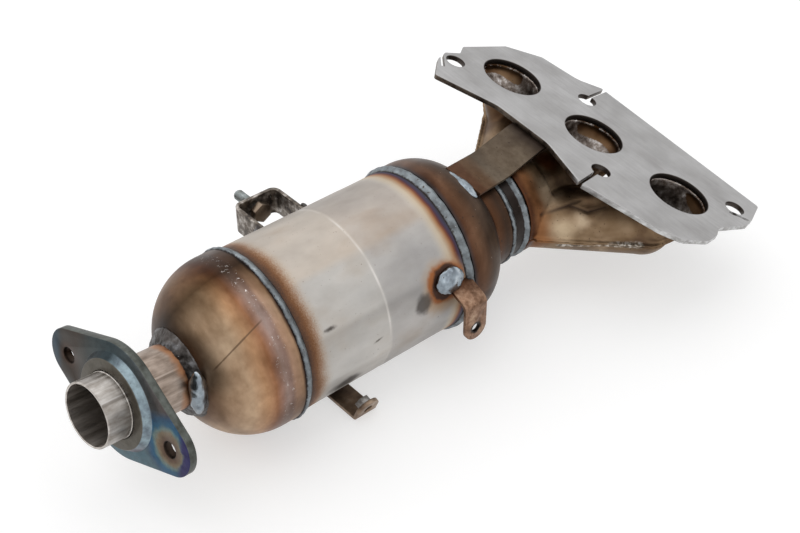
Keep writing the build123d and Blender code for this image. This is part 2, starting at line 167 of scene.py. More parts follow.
def rise(tree, value, start, end):
    """0 at the start, 1 at the end, and smooth between; the end may be the lower value."""
    node = tree.nodes.new("ShaderNodeMapRange")
    node.interpolation_type = "SMOOTHSTEP"
    node.inputs["From Min"].default_value = start
    node.inputs["From Max"].default_value = end
    tree.links.new(value, node.inputs["Value"])
    return node.outputs[0]


def fade(tree, value, start, end):
    """Runs evenly from 0 at the start to 1 at the end."""
    node = tree.nodes.new("ShaderNodeMapRange")
    node.inputs["From Min"].default_value = start
    node.inputs["From Max"].default_value = end
    tree.links.new(value, node.inputs["Value"])
    return node.outputs[0]


def over(tree, factor, lower, upper, kind="MIX"):
    """The upper colour laid over the lower one, as far as the factor says."""
    node = tree.nodes.new("ShaderNodeMix")
    node.data_type = "RGBA"
    node.blend_type = kind
    put(factor, node.inputs[0])
    put(lower, node.inputs[6])
    put(upper, node.inputs[7])
    return node.outputs[2]


def mottled(tree, color, size, dark, light=(255, 255, 255), **grain):
    """The colour shaded by clouds of the given size, between a dark and a light shade."""
    clouds = band(tree, cloudy(tree, size, **grain), (0.32, dark), (0.64, light))
    return over(tree, 1.0, color, clouds, "MULTIPLY")


def specks(tree, color, dot, size=0.0013, share=0.7):
    """Small dots of another colour; a higher share leaves fewer of them."""
    return over(tree, rise(tree, cloudy(tree, size, 2), share, share + 0.05), color, dot)


def gap_to(tree, middle, stretch=(1, 1, 1), turn=(0, 0, 0)):
    """Distance in metres from a place on the metal, shorter along an axis that is drawn out."""
    node = tree.nodes.new("ShaderNodeVectorMath")
    node.operation = "LENGTH"
    tree.links.new(turned_place(tree, turn, stretch, middle), node.inputs[0])
    return node.outputs["Value"]


def plane_gap(tree, middle, normal):
    """Distance in metres from a plane through a place, for a straight mark across the metal."""
    node = tree.nodes.new("ShaderNodeVectorMath")
    node.operation = "DOT_PRODUCT"
    node.inputs[1].default_value = normal
    tree.links.new(turned_place(tree, middle=middle), node.inputs[0])
    return sums(tree, "ABSOLUTE", node.outputs["Value"], 0)


def painted(tree, name):
    """A value from 0 to 1 that the mesh's corners carry, such as a port's inside or a crease."""
    node = tree.nodes.new("ShaderNodeAttribute")
    node.attribute_name = name
    return node.outputs["Fac"]


def smudge(tree, below, color, middle, size, stretch=(1, 1, 1), turn=(0, 0, 0), share=1.0,
           soft=0.4):
    """A patch of another colour at a place, full in its middle and ragged at its edge."""
    edge = sums(tree, "ADD", gap_to(tree, middle, stretch, turn), waver(tree, size, 0.35 * size, 5))
    return over(tree, sums(tree, "MULTIPLY", rise(tree, edge, size, soft * size), share), below,
                color)


def turned(outline, steps=128):
    """A form spun about its own Z from places (along, radius) that run right round its section."""
    form = bmesh.new()
    corners = [form.verts.new((radius, 0, height)) for height, radius in outline]
    edges = [form.edges.new(pair) for pair in zip(corners, corners[1:] + corners[:1])]
    bmesh.ops.spin(form, geom=corners + edges, cent=(0, 0, 0), axis=(0, 0, 1), dvec=(0, 0, 0),
                   angle=2 * pi, steps=steps, use_merge=True)
    bmesh.ops.recalc_face_normals(form, faces=form.faces[:])
    return form


def piece(name, form, material, stands_for, crease=35):
    """Makes the form an object that stands for CAD nodes, smooth up to the crease angle."""
    mesh = bpy.data.meshes.new(name)
    form.to_mesh(mesh)
    form.free()
    mesh.materials.append(material)
    mesh.shade_smooth()
    mesh.set_sharp_from_angle(angle=radians(crease))
    made = bpy.data.objects.new(name, mesh)
    bpy.context.scene.collection.objects.link(made)
    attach(made, "root")
    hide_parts(*stands_for)


def arc(centre, radius, start, end, count=16):
    """Places (along, radius) on an arc of a section, from one angle to the other in degrees."""
    angles = [radians(start + (end - start) * i / count) for i in range(count + 1)]
    return [(centre[0] + radius * sin(a), centre[1] + radius * cos(a)) for a in angles]


shell_outer, shell_inner, shell_length = 0.060, 0.0585, 0.145
jaw_depth, jaw_angle, first_jaw, fold, fold_width = 0.0004, 36, 30, 0.0725, 0.0022
jaw_start, jaw_end, jaw_blend, wobble = 0.004, 0.141, 0.014, 0.00012
under_ends, weld_edge = 0.008, 0.002
rows = [weld_edge + (shell_length - 2 * weld_edge) * i / 60 for i in range(61)]
rows = [-under_ends] + rows + [shell_length + under_ends]
sheet_section = [(z, shell_outer) for z in rows] + [(z, shell_inner) for z in (rows[-1], rows[0])]
form = turned(sheet_section, steps=240)
for corner in form.verts:
    x, y, z = corner.co
    radius = (x * x + y * y) ** 0.5
    inside = radius < (shell_outer + shell_inner) / 2
    if inside or not weld_edge / 2 < z < shell_length - weld_edge / 2:
        continue
    angle = (90 - degrees(atan2(-y, x)) - first_jaw + 720) % jaw_angle / jaw_angle
    bite = jaw_depth if z < fold else 0.6 * jaw_depth
    ends = min(1, max(0, (z - jaw_start) / jaw_blend)) * min(1, max(0, (jaw_end - z) / jaw_blend))
    groove = jaw_depth / 2 * exp(-((z - fold) / fold_width) ** 2)
    pressed = bite * (1 - (2 * angle - 1) ** 4) * ends + groove
    pressed += wobble * (noise.noise(Vector((x, y, z)) * 60) + 1)
    corner.co.xy *= (radius - pressed) / radius
bmesh.ops.transform(form, matrix=toward_inlet, verts=form.verts)

shell_steel, tree, shader = finish("rolled_stainless", (200, 196, 190), 0.4, 0.75)
bright = band(tree, cloudy(tree, 0.04, 3, stretch=(1, 1.6, 1)), (0.3, (182, 179, 176)),
              (0.46, (196, 193, 189)), (0.6, (202, 198, 193)), (0.74, (195, 186, 176)))
turn_round = sums(tree, "ARCTAN2", along(tree, "X", middle=(can_side, 0, can_drop)),
                  along(tree, "Z", middle=(can_side, 0, can_drop)))
# Painted shade and highlight round the can: the tone steps with the angle round its axis, as light
# falls on the jaws' flats.
painted_flats_shade = band(tree, fade(tree, turn_round, -pi, pi), (0.0, (236, 234, 232)), (0.4, (236, 230, 224)),
             (0.575, (240, 232, 224)), (0.59, (238, 238, 238)), (0.678, (232, 232, 232)),
             (0.69, (218, 218, 218)), (0.74, (248, 248, 248)), (0.78, (255, 255, 255)),
             (0.8, (242, 241, 240)))
bright = over(tree, 1.0, bright, painted_flats_shade, "MULTIPLY")
ridge = sums(tree, "SUBTRACT", along(tree), outlet_weld_y + fold)
# Painted shade and highlight at the fold: the inlet half is a touch darker, and a patchy pale line
# runs along the fold as a painted glint.
bright = over(tree, rise(tree, ridge, -0.0006, 0.0012), bright, (240, 240, 242), "MULTIPLY")
glint = rise(tree, sums(tree, "ABSOLUTE", sums(tree, "ADD", ridge, 0.0012), 0), 0.0012, 0.0003)
bright = over(tree, sums(tree, "MULTIPLY", glint, rise(tree, cloudy(tree, 0.03, 2), 0.4, 0.7)),
              bright, (216, 212, 208))
bright = mottled(tree, bright, 0.012, (243, 242, 241), detail=4, stretch=(1, 2, 1))
y = sums(tree, "ADD", sums(tree, "ADD", along(tree), waver(tree, 0.03, 0.004)),
         waver(tree, 0.0009, 0.0032, 2))
brown = band(tree, fade(tree, y, outlet_weld_y + 0.004, outlet_weld_y + 0.027), (0.0, (58, 46, 40)),
             (0.14, (80, 56, 42)), (0.3, (112, 76, 50)), (0.46, (142, 106, 76)),
             (0.65, (170, 148, 126)), (0.9, (182, 172, 162)))
tint = over(tree, rise(tree, y, outlet_weld_y + 0.011, outlet_weld_y + 0.024), brown, bright)
close = sums(tree, "ADD", along(tree), waver(tree, 0.05, 0.003))
blue = band(tree, fade(tree, close, inlet_weld_y - 0.024, inlet_weld_y - 0.006),
            (0.0, (192, 187, 180)), (0.45, (186, 172, 152)), (0.64, (160, 122, 88)),
            (0.74, (120, 72, 50)), (0.82, (78, 50, 58)), (0.9, (64, 58, 78)), (1.0, (58, 56, 62)))
tint = over(tree, rise(tree, close, inlet_weld_y - 0.024, inlet_weld_y - 0.016), tint, blue)
front_blob = (0.0440, -0.1840, -0.0160)
tint = smudge(tree, tint, (172, 146, 118), (0.0430, -0.1870, -0.0190), 0.025)
tint = smudge(tree, tint, (152, 94, 54), (0.0432, -0.1868, -0.0175), 0.0178, soft=0.72)
tint = smudge(tree, tint, (70, 48, 38), (0.0436, -0.1855, -0.0170), 0.0146, soft=0.8)
tint = smudge(tree, tint, (74, 68, 64), (0.044, -0.2065, -0.024), 0.007, (1, 1.3, 1.5), share=0.85)
tint = smudge(tree, tint, (70, 64, 60), (0.040, -0.270, -0.062), 0.011, (1, 1.6, 1), share=0.9)
tint = smudge(tree, tint, (84, 78, 74), (0.0385, -0.2808, -0.0072), 0.0022, (1, 3, 1), (0, 0, 0),
              soft=0.2)
tint = smudge(tree, tint, (110, 104, 98), (0.0447, -0.2464, -0.0325), 0.0014, (1, 4, 1), (12, 0, 0),
              soft=0.2)
tint = specks(tree, tint, (120, 108, 98), 0.0012, 0.71)
put(tint, shader.inputs["Base Color"])
put(fade(tree, cloudy(tree, 0.02, 4), -1.2, 1.9), shader.inputs["Roughness"])
relief(tree, shader, cloudy(tree, 0.008, 3, stretch=(1, 3, 1)), 0.05, 0.0005)
piece("rolled_shell", form, shell_steel, ["can_shell"], crease=60)


# Pressed ends: stainless cups spun to a dome and lapped over the shell. The outlet end is a deep
# round bowl whose hole sits a little off centre for the leaning pipe. The inlet end has a neck.
skirt_outer, skirt_inner, skirt_length, end_wall = 0.0615, 0.060, 0.009, 0.0015
bowl_round, bowl_centre, hole_radius = 0.0475, 0.014, 0.0222
hole_turn = degrees(acos((hole_radius - bowl_centre) / bowl_round))
bowl = [(0, skirt_outer)] + arc((skirt_length, bowl_centre), bowl_round, 0, hole_turn, 40)
bowl += arc((skirt_length, bowl_centre), bowl_round - end_wall, hole_turn, 0, 40)
form = turned(bowl + [(0, skirt_inner)], steps=160)
hole_shift, shift_from, shift_over = Vector((0.0013, -0.0019)), 0.034, 0.012
for corner in form.verts:
    corner.co.xy += hole_shift * max(0, (shift_from - corner.co.xy.length) / shift_over)
bmesh.ops.transform(form, matrix=toward_outlet, verts=form.verts)

dome_steel, tree, shader = finish("heat_tinted_stainless", (128, 104, 80), 0.36, 1.0)
drifting = sums(tree, "ADD", along(tree), waver(tree, 0.03, 0.0025))
out = sums(tree, "SUBTRACT", outlet_weld_y, drifting)
rings = band(tree, fade(tree, out, 0.0, 0.058), (0.0, (70, 54, 46)), (0.03, (156, 130, 106)),
             (0.12, (172, 144, 124)), (0.17, (146, 124, 116)), (0.24, (160, 142, 136)),
             (0.3, (162, 130, 116)), (0.36, (170, 126, 96)), (0.46, (204, 166, 130)),
             (0.6, (208, 184, 156)), (0.8, (196, 172, 146)), (0.9, (136, 112, 92)),
             (0.97, (98, 80, 66)), (1.0, (66, 58, 54)))
# Painted shade and highlight: the bowl is darker on its left side and brighter on its right, as
# light falls on it.
side = sums(tree, "ADD", along(tree, "X"), sums(tree, "MULTIPLY", along(tree, "Z"), -0.4))
shade = band(tree, fade(tree, side, -0.06, 0.03), (0.0, (150, 132, 118)), (0.2, (140, 120, 104)),
             (0.37, (104, 94, 82)), (0.65, (226, 220, 214)), (0.85, (255, 255, 255)),
             (1.0, (246, 240, 236)))
rings = over(tree, 1.0, rings, shade, "MULTIPLY")
rings = mottled(tree, rings, 0.04, (186, 176, 166), detail=4, twist=0.4)
rings = mottled(tree, rings, 0.006, (224, 220, 216), detail=5, stretch=(2, 1, 2))
rings = specks(tree, rings, (206, 192, 176), 0.0014, 0.77)
white_ring = sums(tree, "MULTIPLY", rise(tree, out, 0.006, 0.010), rise(tree, out, 0.019, 0.013))
flakes = sums(tree, "MULTIPLY", white_ring, rise(tree, cloudy(tree, 0.003, 6, 0.8), 0.58, 0.68))
rings = over(tree, flakes, rings, (214, 208, 204))
crease_middle = (0.0236, -0.3407, 0.0035)
crease = sums(tree, "ADD", plane_gap(tree, crease_middle, (-0.768, -0.292, 0.570)),
              waver(tree, 0.006, 0.0003))
crease = sums(tree, "MULTIPLY", rise(tree, crease, 0.0009, 0.0002),
              rise(tree, gap_to(tree, crease_middle), 0.024, 0.018))
rings = over(tree, sums(tree, "MULTIPLY", crease, 0.75), rings, (88, 68, 54))
put(rings, shader.inputs["Base Color"])
put(fade(tree, cloudy(tree, 0.015, 5), -1.1, 2.6), shader.inputs["Roughness"])
relief(tree, shader, cloudy(tree, 0.008, 6), 0.12, 0.0006)
piece("outlet_bowl", form, dome_steel, ["outlet_dome"], crease=60)

cup_round, cup_centre, neck_outer, neck_end = 0.034, 0.0275, 0.039, 0.057
cup = [(0, skirt_outer)] + arc((skirt_length, cup_centre), cup_round, 0, 65, 24)
cup += arc((0.0443, 0.044), 0.005, 245, 180, 6)[1:]
cup += [(neck_end, neck_outer), (neck_end, neck_outer - end_wall), (0.045, neck_outer - end_wall)]
cup += arc((skirt_length, cup_centre), cup_round - end_wall, 65, 0, 24)
form = turned(cup + [(0, skirt_inner)], steps=160)
bmesh.ops.transform(form, matrix=toward_inlet @ Matrix.Translation((0, 0, shell_length)),
                    verts=form.verts)
cup_steel, tree, shader = finish("heat_browned_stainless", (104, 78, 58), 0.36, 1.0)
inward = sums(tree, "ADD", sums(tree, "SUBTRACT", along(tree), inlet_weld_y),
              waver(tree, 0.03, 0.002))
rings = band(tree, fade(tree, inward, 0.0, 0.062), (0.0, (60, 56, 58)), (0.06, (92, 64, 48)),
             (0.14, (106, 78, 60)), (0.3, (80, 63, 51)), (0.45, (94, 76, 62)), (0.58, (72, 56, 46)),
             (0.72, (98, 68, 49)), (0.84, (70, 55, 46)), (0.95, (82, 63, 51)), (1.0, (54, 49, 47)))
rings = mottled(tree, rings, 0.03, (180, 168, 158), detail=5, twist=0.6)
rings = specks(tree, rings, (58, 48, 42), 0.0022, 0.7)
put(specks(tree, rings, (196, 184, 172), 0.0014, 0.74), shader.inputs["Base Color"])
put(fade(tree, cloudy(tree, 0.015, 5), -1.1, 2.8), shader.inputs["Roughness"])
relief(tree, shader, cloudy(tree, 0.008, 6), 0.15, 0.0006)
piece("inlet_cup", form, cup_steel, ["inlet_dome"], crease=60)
dress("collector_ring", cup_steel)


# Ring welds: wire-fed beads that seal each end to the shell, the neck to the collector ring and
# the ring to the manifold. Each is a low crown with lumps, stops and pits, dark along its toes.
bead_steel, tree, shader = finish("weld_metal", (112, 118, 124), 0.4, 1.0)
metal = band(tree, cloudy(tree, 0.007, 4), (0.3, (92, 94, 96)), (0.5, (118, 124, 128)),
             (0.7, (142, 148, 152)))
metal = specks(tree, metal, (72, 62, 54), 0.0024, 0.66)
metal = specks(tree, metal, (196, 202, 206), 0.0018, 0.72)
ragged = sums(tree, "ADD", painted(tree, "toe"), waver(tree, 0.002, 0.25))
metal = over(tree, rise(tree, ragged, 0.55, 0.9), metal, (48, 42, 40))
put(metal, shader.inputs["Base Color"])
put(fade(tree, cloudy(tree, 0.004, 3), -1.0, 2.2), shader.inputs["Roughness"])
relief(tree, shader, cloudy(tree, 0.0026, 4), 0.35, 0.0005)

lump_depth, ripple_depth, grain_depth, edge_drift = 0.0004, 0.0001, 0.00012, 0.0006


def ring_bead(name, radius, step, start, width, crown, ripple, spot, node):
    """A lumpy ring of weld from its start over its width, on a wall that steps up at the start."""
    count = 10
    section = [(start, radius)]
    for i in range(count + 1):
        share = i / count
        lift = step * (1 - share) + crown * sin(pi * share ** 0.8)
        section.append((start + width * share, radius + lift))
    form = turned(section, steps=420)
    toes = form.verts.layers.float.new("toe")
    for corner in form.verts:
        corner[toes] = abs(2 * (corner.co.z - start) / width - 1)
        length = corner.co.xy.length
        if length < radius + 0.0001:
            continue
        angle = atan2(corner.co.y, corner.co.x)
        lump = noise.noise(Vector((cos(angle), sin(angle), corner.co.z * 4)) * 9)
        drift = noise.noise(Vector((cos(angle), sin(angle), 5)) * 5)
        wave = sin(angle * length / ripple + 3 * drift)
        rough = noise.noise(corner.co * 450)
        change = -lump_depth * (1 - lump) - ripple_depth * (1 - wave) - grain_depth * (1 - rough)
        corner.co.xy *= (length + change * min(1, (length - radius) / 0.001)) / length
        corner.co.z += edge_drift * noise.noise(Vector((cos(angle), sin(angle), 9)) * 9)
    bmesh.ops.transform(form, matrix=spot, verts=form.verts)
    piece(name, form, bead_steel, [node], crease=80)


toward_back = toward_inlet @ Matrix.Rotation(pi, 4, "X")
ring_outer, neck_place, mouth_place = 0.0375, 0.202, 0.220
ring_bead("outlet_can_bead", shell_outer, 0.0015, 0, 0.006, 0.0022, 0.0016, toward_inlet,
          "outlet_shell_weld")
ring_bead("inlet_can_bead", shell_outer, 0.0015, -shell_length, 0.007, 0.0022, 0.002, toward_back,
          "inlet_shell_weld")
ring_bead("neck_bead", ring_outer, 0.0015, neck_place, 0.006, 0.0022, 0.002, toward_inlet,
          "neck_weld")
ring_bead("collector_bead", ring_outer, 0.0016, -mouth_place, 0.0055, 0.0016, 0.002, toward_back,
          "collector_weld")


# Manifold: two stamped half shells of 1.6 mm stainless whose edges are pinched to a lip and seam
# welded. Three runners drop from the ports and merge into one flattened throat on the collector.
def turned_by(turn):
    """A rotation by degrees about X, then Y, then Z."""
    x, y, z = (radians(angle) for angle in turn)
    return Matrix.Rotation(z, 4, "Z") @ Matrix.Rotation(y, 4, "Y") @ Matrix.Rotation(x, 4, "X")


head_turn = (-13.5, 15.5, 10.6)
head_place = turned_by(head_turn)
port_pitch, port_radius = 0.078, 0.02325


def merged(name):
    """A copy of a CAD node's mesh, with the corners that its faces share made one."""
    form = bmesh.new()
    form.from_mesh(cad[name].data)
    form.transform(cad[name].matrix_world)
    bmesh.ops.remove_doubles(form, verts=form.verts, dist=0.00001)
    return form


def worked(name, grain, rounds):
    """A CAD node in an even grain of faces, its sharp creases smoothed as a press draws them."""
    form = merged(name)
    rough = bpy.data.meshes.new("rough")
    form.to_mesh(rough)
    form.free()
    holder = bpy.data.objects.new("rough", rough)
    bpy.context.scene.collection.objects.link(holder)
    remesh = holder.modifiers.new("grain", "REMESH")
    remesh.mode = "VOXEL"
    remesh.voxel_size = grain
    even = holder.evaluated_get(bpy.context.evaluated_depsgraph_get()).to_mesh()
    form = bmesh.new()
    form.from_mesh(even)
    bpy.data.objects.remove(holder)
    bpy.data.meshes.remove(rough)
    for _ in range(rounds):
        bmesh.ops.smooth_vert(form, verts=form.verts, factor=0.5, use_axis_x=True, use_axis_y=True,
                              use_axis_z=True)
    return form


def way_from(place, start, end):
    """The shortest way to a place from the straight line between two others."""
    path = end - start
    share = min(1, max(0, (place - start).dot(path) / path.length_squared))
    return place - start - path * share


ports = [head_place @ Vector((port_pitch * side, 0, 0)) for side in (-1, 0, 1)]
elbows = [(-0.056, -0.003, -0.033), (-0.007, -0.016, -0.035), (0.066, -0.004, -0.035)]
legs = [(port, head_place @ Vector(elbow)) for port, elbow in zip(ports, elbows)]

bronze, tree, shader = finish("bronzed_stainless", (150, 128, 104), 0.38, 1.0)
color = band(tree, cloudy(tree, 0.035, 3, twist=0.5), (0.3, (96, 76, 60)), (0.45, (130, 108, 84)),
             (0.58, (150, 128, 104)), (0.72, (178, 160, 136)))
# Painted shade: the manifold darkens towards the head flange above it, where the flange shades it.
down = sums(tree, "ADD", along(tree, "Z", head_turn), waver(tree, 0.02, 0.006))
shade = band(tree, fade(tree, down, -0.026, -0.004), (0.0, (255, 255, 255)),
             (0.4, (228, 220, 212)), (0.75, (160, 142, 128)), (1.0, (104, 88, 78)))
color = over(tree, 1.0, color, shade, "MULTIPLY")
# Painted highlights: pale cream patches where light falls on the runners, and painted shade: a dark
# patch in a hollow at the left.
color = smudge(tree, color, (214, 192, 164), (0.016, -0.064, -0.0145), 0.017, share=0.85, soft=0.1)
color = smudge(tree, color, (84, 62, 46), (-0.066, -0.043, 0.0), 0.016, (1, 1, 1.6), share=0.8)
color = smudge(tree, color, (210, 190, 164), (0.0405, -0.053, -0.033), 0.009, (1.6, 1, 1),
               share=0.7, soft=0.1)
burn = sums(tree, "ADD", along(tree), waver(tree, 0.015, 0.003))
color = over(tree, rise(tree, burn, -0.066, -0.078), color, (138, 96, 64))
color = over(tree, rise(tree, burn, -0.078, -0.085), color, (84, 54, 38))
burnt_spots = ((-0.052, -0.030, -0.004), 0.013), ((-0.004, -0.048, -0.008), 0.012)
for spot, size in burnt_spots:
    color = smudge(tree, color, (158, 92, 46), spot, size, share=0.8)
# Painted highlight: another pale cream patch on a runner's belly.
color = smudge(tree, color, (194, 174, 146), (0.034, -0.062, -0.038), 0.014, (1.4, 1, 1), share=0.8,
               soft=0.1)
color = mottled(tree, color, 0.012, (222, 216, 210), detail=4)
color = specks(tree, color, (66, 52, 42), 0.0018, 0.68)
# Painted shade along the pressed folds: the creases are darkened in colour.
color = over(tree, sums(tree, "MULTIPLY", painted(tree, "crease"), 0.85), color, (58, 46, 40))
spatter = band(tree, cloudy(tree, 0.003, 5), (0.35, (84, 72, 62)), (0.5, (138, 126, 112)),
               (0.62, (214, 208, 200)))
color = over(tree, sums(tree, "MULTIPLY", painted(tree, "lip"), 0.9), color, spatter)
# Painted shade and painted reflections inside the ports: dark, with pale glints, and a heat-tinted
# patch.
inside = band(tree, cloudy(tree, 0.006, 6, 0.65), (0.34, (78, 68, 62)), (0.5, (134, 124, 117)),
              (0.6, (180, 174, 170)), (0.68, (232, 230, 230)))
inside = smudge(tree, inside, (140, 84, 42), tuple(head_place @ Vector((-0.004, -0.02, -0.03))),
                0.010, share=0.8)
put(over(tree, painted(tree, "port_inside"), color, inside), shader.inputs["Base Color"])
put(fade(tree, cloudy(tree, 0.012, 5), -0.9, 2.2), shader.inputs["Roughness"])
relief(tree, shader, cloudy(tree, 0.006, 5), 0.15, 0.0006)
folds = [(0.0225, -0.0752, -0.0259), (0.0292, -0.0543, -0.0235), (0.0334, -0.0421, -0.0195)]
folds = list(zip(folds, folds[1:])) + [((0.0292, -0.0543, -0.0235), (0.0405, -0.0459, -0.0275)),
                                       ((0.0405, -0.0459, -0.0275), (0.0461, -0.0330, -0.0261))]
folds = [(Vector(start), Vector(end)) for start, end in folds]
crease_width, crease_depth, lip_width = 0.0022, 0.0007, 0.0018
seam_line = (Vector((0.0329, -0.0643, -0.0528)), Vector((0.0733, -0.0229, -0.0509)))
for half in ("inner", "outer"):
    form = worked(f"manifold_{half}_shell", grain=0.0009, rounds=6)
    form.normal_update()
    port_insides, creases, lips = (form.verts.layers.float.new(name) for name in ("port_inside", "crease", "lip"))
    for corner in form.verts:
        near = min((way_from(corner.co, *leg) for leg in legs), key=lambda way: way.length)
        corner[port_insides] = 1.0 if near.length < port_radius and near.dot(corner.normal) < 0 else 0.0
        crease_gap = min(way_from(corner.co, *line).length for line in folds)
        corner[creases] = max(0, 1 - crease_gap / crease_width)
        corner[lips] = max(0, min(1, 2 - way_from(corner.co, *seam_line).length / lip_width))
        corner.co -= corner.normal * crease_depth * corner[creases]
    piece(f"{half}_stamping", form, bronze, [f"manifold_{half}_shell"],
          crease=70)


# Head flange: steel plate, laser cut with slit stud holes that let it grow when hot, and ground
# flat on its mating face. Its cut edge is burnt dark at the left, and painted bright at the right
# as a highlight.
def eased(name, width, angle=30):
    """A CAD node whose sharp edges are rounded a little, as cutting and handling leave them."""
    form = merged(name)
    bmesh.ops.dissolve_limit(form, angle_limit=radians(1), verts=form.verts, edges=form.edges)
    sharp = [edge for edge in form.edges
             if len(edge.link_faces) == 2 and edge.calc_face_angle() > radians(angle)]
    bmesh.ops.bevel(form, geom=sharp, offset=width, affect="EDGES", segments=2, profile=0.5,
                    material=-1, clamp_overlap=True)
    return form


plate, tree, shader = finish("ground_steel", (184, 184, 185), 0.42, 1.0)
grain = cloudy(tree, 0.0022, 5, stretch=(14, 1, 1), turn=head_turn)
color = band(tree, grain, (0.3, (170, 169, 169)), (0.7, (181, 180, 180)))
color = mottled(tree, color, 0.03, (228, 227, 226), detail=5)
depth = along(tree, "Z", head_turn)
front = along(tree, "X", head_turn)
burnt = band(tree, cloudy(tree, 0.006, 4), (0.35, (58, 50, 44)), (0.65, (104, 94, 84)))
# The cut edge's bright front part is a painted highlight.
highlit_cut_edge = band(tree, cloudy(tree, 0.003, 5, stretch=(8, 1, 1)), (0.35, (150, 148, 146)),
           (0.65, (206, 206, 206)))
edge = over(tree, rise(tree, front, 0.018, 0.03), burnt, highlit_cut_edge)
color = over(tree, rise(tree, depth, -0.0003, -0.0007), color, edge)
stud_holes = [head_place @ Vector((across, back, 0)) for across, back in (
    (0.1125, 0.032), (-0.1125, -0.032), (0.0293, -0.0399), (-0.0293, 0.0399))]
stud_radius = 0.0074
for port in ports:
    gap = gap_to(tree, tuple(port), (1, 1, 100), head_turn)
    color = over(tree, rise(tree, gap, port_radius + 0.0007, port_radius + 0.0002), color,
                 (70, 64, 60))
for hole in stud_holes:
    gap = gap_to(tree, tuple(hole), (1, 1, 100), head_turn)
    color = over(tree, rise(tree, gap, stud_radius + 0.0005, stud_radius + 0.0001), color,
                 (72, 66, 62))
put(color, shader.inputs["Base Color"])
relief(tree, shader, grain, 0.12, 0.0002)
piece("head_plate", eased("head_flange", 0.0004), plate, ["head_flange"])


# Outlet pipe: bright 44.5 mm seamed tube with a sized end and scuffs along it, let into the hole
# of the bowl and joined by a heavy hand-run weld that burnt it brown.
pipe_turn, pipe_root = (80.4, 0, 6.2), (-0.0152, -0.352, -0.0339)
pipe_place = Matrix.Translation(pipe_root) @ turned_by(pipe_turn)
pipe_outer, pipe_inner, pipe_length = 0.02225, 0.02045, 0.0807
sized_outer, sized_from = 0.0219, 0.0642
section = [(0, pipe_outer), (sized_from - 0.0004, pipe_outer), (sized_from, sized_outer)]
section += [(pipe_length - 0.0004, sized_outer), (pipe_length, sized_outer - 0.0004)]
section += [(pipe_length, pipe_inner + 0.0003), (pipe_length - 0.0003, pipe_inner), (0, pipe_inner)]
form = turned(section, steps=160)
bmesh.ops.transform(form, matrix=pipe_place, verts=form.verts)


def line_gap(tree, angle, radius):
    """Distance from a line that runs along the pipe's wall, at an angle round it in degrees."""
    foot = pipe_place @ Vector((radius * cos(radians(angle)), radius * sin(radians(angle)), 0))
    return gap_to(tree, tuple(foot), (1, 1, 1000), pipe_turn)


tube, tree, shader = finish("brushed_tube", (186, 184, 182), 0.36, 1.0)
out = along(tree, "Z", pipe_turn, pipe_root)
streaks = cloudy(tree, 0.003, 5, stretch=(1, 1, 14), turn=pipe_turn)
color = band(tree, streaks, (0.3, (158, 152, 146)), (0.5, (186, 181, 176)), (0.7, (212, 209, 206)))
root = sums(tree, "ADD", out, waver(tree, 0.008, 0.004, 4))
color = mottled(tree, color, 0.005, (206, 202, 198), detail=4, stretch=(1, 1, 2), turn=pipe_turn)
seam_and_highlight = sums(tree, "MULTIPLY", rise(tree, line_gap(tree, 47, pipe_outer), 0.0012, 0.0005), 0.6)
color = over(tree, seam_and_highlight, color, (120, 114, 108))
# Painted highlight: a faint pale line beside the seam.
seam_and_highlight = sums(tree, "MULTIPLY", rise(tree, line_gap(tree, 51, pipe_outer), 0.0008, 0.0003), 0.5)
color = over(tree, seam_and_highlight, color, (214, 212, 210))
color = over(tree, rise(tree, out, 0.056, 0.046), color, (226, 212, 202), "MULTIPLY")
color = over(tree, rise(tree, root, 0.027, 0.021), color, (164, 120, 88))
color = over(tree, rise(tree, root, 0.022, 0.018), color, (104, 66, 46))
color = over(tree, rise(tree, root, 0.018, 0.014), color, (52, 44, 42))
inner = rise(tree, gap_to(tree, pipe_root, (1, 1, 1000), pipe_turn), 0.0213, 0.0209)
# Painted shade inside the pipe: darker the deeper in, lighter at its mouth.
dark = band(tree, fade(tree, out, 0.02, 0.081), (0.0, (120, 112, 104)), (0.6, (196, 188, 180)),
            (1.0, (214, 208, 202)))
dark = mottled(tree, dark, 0.004, (190, 186, 182), detail=5, stretch=(1, 1, 12), turn=pipe_turn)
put(over(tree, inner, color, dark), shader.inputs["Base Color"])
put(fade(tree, streaks, -0.6, 2.0), shader.inputs["Roughness"])
piece("outlet_tube", form, tube, ["outlet_pipe"], crease=40)


# Outlet flange: a two-bolt plate of 6 mm steel with a coned seat for a ring gasket. The weld
# behind it has tempered the face blue, straw and purple round the lower bolt hole.
face_height, face_roll, bolt_reach = 0.0577, -7.3, 0.05
face_place = pipe_place @ Matrix.Translation((0, 0, face_height)) @ turned_by((0, 0, face_roll))
face = tuple(face_place.translation)
lower_hole = tuple(face_place @ Vector((bolt_reach, 0, 0)))
upper_hole = tuple(face_place @ Vector((-bolt_reach, 0, 0)))
tempered, tree, shader = finish("tempered_plate", (84, 84, 86), 0.36, 1.0)
lift = along(tree, "Z", pipe_turn, face)
across = sums(tree, "ADD", along(tree, "X", pipe_turn, face), waver(tree, 0.012, 0.003))
color = band(tree, fade(tree, across, -0.07, 0.07), (0.0, (50, 66, 80)), (0.05, (52, 68, 80)),
             (0.1, (66, 62, 58)), (0.2, (68, 60, 54)), (0.3, (60, 66, 66)), (0.45, (58, 70, 74)),
             (0.6, (78, 84, 86)), (0.8, (92, 86, 84)), (1.0, (60, 62, 88)))
below = sums(tree, "ADD", along(tree, "Y", pipe_turn, face), waver(tree, 0.012, 0.003))
color = over(tree, rise(tree, below, -0.008, -0.03), color, (84, 108, 118))
far = sums(tree, "ADD", gap_to(tree, lower_hole), waver(tree, 0.012, 0.0045, 4))
